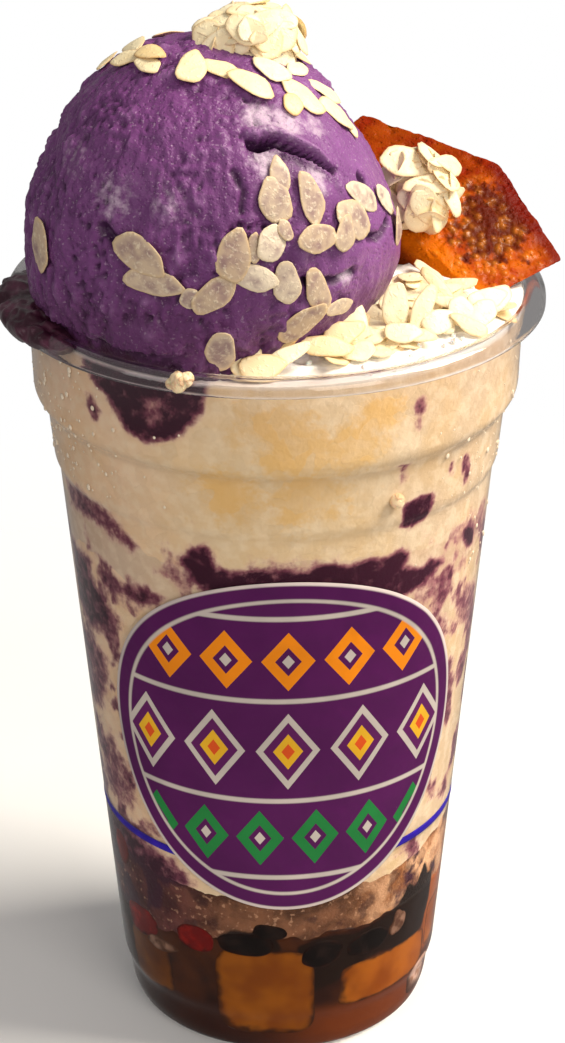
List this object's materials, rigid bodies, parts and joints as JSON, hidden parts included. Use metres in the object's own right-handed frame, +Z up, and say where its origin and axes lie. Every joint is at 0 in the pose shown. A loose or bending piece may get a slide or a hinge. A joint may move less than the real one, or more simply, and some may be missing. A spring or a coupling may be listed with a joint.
{
  "type": "halo-halo in a clear cup",
  "caption": "Iced dessert in a tapered clear cup: beans and jelly in syrup, crushed ice and milk, an ube ice cream scoop, custard flan and toasted flakes on top.",
  "frame": {"origin": "on the cup's axis, in the plane its foot stands on", "axes": "+Z up along the cup's axis, -Y towards the side with the label's middle, +X towards the flan"},
  "size_m": [0.1026, 0.098, 0.2044],
  "materials": {
    "clear_plastic": "clear thermoformed sheet, glossy on both faces",
    "label_film": "glossy printed film, deep violet with a woven pattern",
    "syrup": "dark amber syrup with jelly cubes and beans, wet and glossy",
    "soaked_ice": "crushed ice soaked in brown syrup, wet",
    "milk_ice": "crushed ice in milk, soft cream colour",
    "ube_cream": "ube jam loosened in milk, dark purple, soft edges",
    "ube_ice_cream": "ube ice cream, scraped and pitted, softly frosted",
    "custard": "baked custard with burnt caramel, wet and glossy",
    "ube_jam": "dark purple jam, sticky",
    "rice_flake": "dry toasted flakes, cream to tan"
  },
  "bodies": {
    "root": {"cup": "clear_plastic", "label": "label_film", "syrup_base": "syrup", "soaked_ice": "soaked_ice", "ice_lower": "milk_ice", "ube_layer": "ube_cream", "ice_upper": "milk_ice", "ube_scoop": "ube_ice_cream", "leche_flan": "custard", "halaya_rim": "ube_jam", "flake_clump_top": "rice_flake", "flake_clump_flan": "rice_flake", "flake_heap_side": "rice_flake"}
  },
  "joints": []
}
